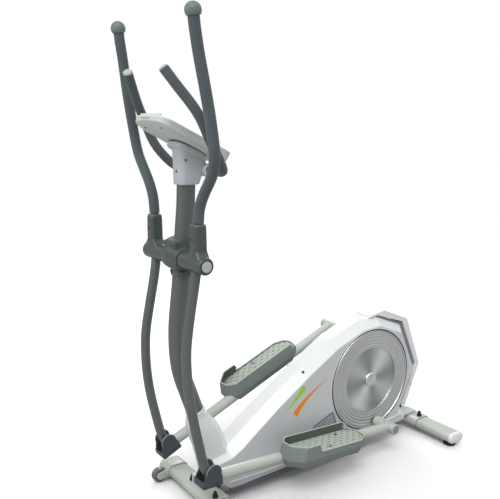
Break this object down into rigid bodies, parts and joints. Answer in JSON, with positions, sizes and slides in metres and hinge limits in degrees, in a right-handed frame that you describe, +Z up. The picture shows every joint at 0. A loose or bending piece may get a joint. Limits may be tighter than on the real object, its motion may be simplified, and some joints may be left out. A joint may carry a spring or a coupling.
{
  "type": "elliptical trainer",
  "caption": "Front-post elliptical trainer with swinging handle arms linked to pedal arms, a belt-driven rear crank in a white casing, a console and fixed handlebars.",
  "frame": {"origin": "the floor point under the middle of the machine's length and width", "axes": "+X towards the drive at the rear, -Y towards the user's left, +Z up"},
  "size_m": [1.2753, 0.5368, 1.6279],
  "materials": {
    "frame_paint": "pale grey-green satin enamel",
    "mast_paint": "grey-green metallic enamel with a soft sheen",
    "cover_plastic": "grey-green satin moulded plastic",
    "slate_plastic": "dark slate moulded plastic",
    "pedal_plastic": "grey-green moulded plastic with a patterned tread",
    "foam": "dark bluish grey matte foam",
    "knob_plastic": "mid-grey soft-touch plastic",
    "white_gloss": "glossy white moulded plastic",
    "cool_grey": "cool light grey moulded plastic",
    "console_grey": "mid-grey textured plastic",
    "console_white": "off-white satin plastic",
    "screen": "dark glossy display window",
    "black_plastic": "black moulded plastic",
    "disc_silver": "brushed centre in stepped satin silver rings",
    "steel": "machined steel",
    "iron": "dark cast iron",
    "wheel_grey": "ribbed grey plastic",
    "belt": "black ribbed drive belt"
  },
  "bodies": {
    "frame": {"main_frame": "frame_paint", "front_post": "mast_paint", "front_stabilizer": "frame_paint", "rear_stabilizer": "frame_paint", "clamp_knob_front_left": "black_plastic", "clamp_knob_front_right": "black_plastic", "clamp_knob_rear_left": "black_plastic", "clamp_knob_rear_right": "black_plastic", "front_end_cap_left": "frame_paint", "rear_end_cap_left": "white_gloss", "shroud_left": "white_gloss", "fixed_grip_left": "foam", "front_end_cap_right": "frame_paint", "rear_end_cap_right": "white_gloss", "shroud_right": "white_gloss", "fixed_grip_right": "foam", "shroud_rear_cap": "white_gloss", "post_boot": "white_gloss", "drive_belt": "belt", "pivot_axle": "steel", "pivot_cover_front": "cover_plastic", "pivot_cover_rear": "cover_plastic", "console_back": "console_grey", "console_face": "console_white", "console_screen": "screen", "console_head": "cool_grey", "fixed_handlebar": "mast_paint"},
    "crank": {"crank_shaft": "steel", "crank_disc_left": "disc_silver", "crank_disc_right": "disc_silver", "drive_pulley": "black_plastic"},
    "flywheel": {"flywheel": "iron"},
    "idler": {"idler_roller": "black_plastic"},
    "swing_arm_left": {"swing_tube_left": "mast_paint", "hub_cover_left": "cover_plastic", "handle_tube_left": "mast_paint", "handle_grip_left": "foam", "handle_knob_left": "knob_plastic", "link_pin_left": "steel"},
    "pedal_arm_left": {"pedal_arm_left": "frame_paint", "fork_cover_left": "slate_plastic", "pedal_left": "pedal_plastic", "crank_pin_left": "steel"},
    "transport_wheel_left": {"transport_wheel_left": "wheel_grey"},
    "leveling_foot_left": {"leveling_foot_left": "black_plastic"},
    "swing_arm_right": {"swing_tube_right": "mast_paint", "hub_cover_right": "cover_plastic", "handle_tube_right": "mast_paint", "handle_grip_right": "foam", "handle_knob_right": "knob_plastic", "link_pin_right": "steel"},
    "pedal_arm_right": {"pedal_arm_right": "frame_paint", "fork_cover_right": "slate_plastic", "pedal_right": "pedal_plastic", "crank_pin_right": "steel"},
    "transport_wheel_right": {"transport_wheel_right": "wheel_grey"},
    "leveling_foot_right": {"leveling_foot_right": "black_plastic"},
    "button_1": {"console_button_1": "knob_plastic"},
    "button_2": {"console_button_2": "knob_plastic"},
    "button_3": {"console_button_3": "knob_plastic"}
  },
  "joints": [
    {"name": "swing_left", "type": "hinge", "parent": "frame", "child": "swing_arm_left", "pos_m": [-0.53415, -0.12, 0.8772], "axis": [0, 1, 0], "range_deg": [-14.8, 14.8]},
    {"name": "link_left", "type": "hinge", "parent": "swing_arm_left", "child": "pedal_arm_left", "pos_m": [-0.50524, -0.142, 0.16439], "axis": [0, 1, 0], "range_deg": [-14.8, 14.8]},
    {"name": "swing_right", "type": "hinge", "parent": "frame", "child": "swing_arm_right", "pos_m": [-0.53415, 0.12, 0.8772], "axis": [0, 1, 0], "range_deg": [-14.8, 14.8]},
    {"name": "link_right", "type": "hinge", "parent": "swing_arm_right", "child": "pedal_arm_right", "pos_m": [-0.50524, 0.142, 0.16439], "axis": [0, 1, 0], "range_deg": [-14.8, 14.8]},
    {"name": "crank_turn", "type": "hinge", "parent": "frame", "child": "crank", "pos_m": [0.28915, 0, 0.2978], "axis": [0, 1, 0], "continuous": true},
    {"name": "flywheel_spin", "type": "hinge", "parent": "frame", "child": "flywheel", "pos_m": [0.03255, 0, 0.212], "axis": [0, 1, 0], "continuous": true},
    {"name": "idler_spin", "type": "hinge", "parent": "frame", "child": "idler", "pos_m": [0.12655, 0.022, 0.232], "axis": [0, 1, 0], "continuous": true},
    {"name": "wheel_spin_left", "type": "hinge", "parent": "frame", "child": "transport_wheel_left", "pos_m": [-0.52045, -0.197, 0.029], "axis": [0, 1, 0], "continuous": true},
    {"name": "wheel_spin_right", "type": "hinge", "parent": "frame", "child": "transport_wheel_right", "pos_m": [-0.52045, 0.197, 0.029], "axis": [0, 1, 0], "continuous": true},
    {"name": "foot_turn_left", "type": "hinge", "parent": "frame", "child": "leveling_foot_left", "pos_m": [0.59505, -0.222, 0.01], "axis": [0, 0, 1], "continuous": true},
    {"name": "foot_turn_right", "type": "hinge", "parent": "frame", "child": "leveling_foot_right", "pos_m": [0.59505, 0.222, 0.01], "axis": [0, 0, 1], "continuous": true},
    {"name": "button_press_1", "type": "slide", "parent": "frame", "child": "button_1", "axis": [0.4321, 0, 0.9018], "range_m": [-0.0015, 0], "stiffness_N_per_m": 300},
    {"name": "button_press_2", "type": "slide", "parent": "frame", "child": "button_2", "axis": [0.4321, 0, 0.9018], "range_m": [-0.0015, 0], "stiffness_N_per_m": 300},
    {"name": "button_press_3", "type": "slide", "parent": "frame", "child": "button_3", "axis": [0.4321, 0, 0.9018], "range_m": [-0.0015, 0], "stiffness_N_per_m": 300}
  ],
  "couplings": [
    {"joint": "swing_right", "follows": "swing_left", "ratio": -1},
    {"joint": "link_left", "follows": "swing_left", "ratio": -1},
    {"joint": "link_right", "follows": "swing_left", "ratio": 1},
    {"joint": "flywheel_spin", "follows": "crank_turn", "ratio": 5.9},
    {"joint": "idler_spin", "follows": "crank_turn", "ratio": -7.375}
  ]
}
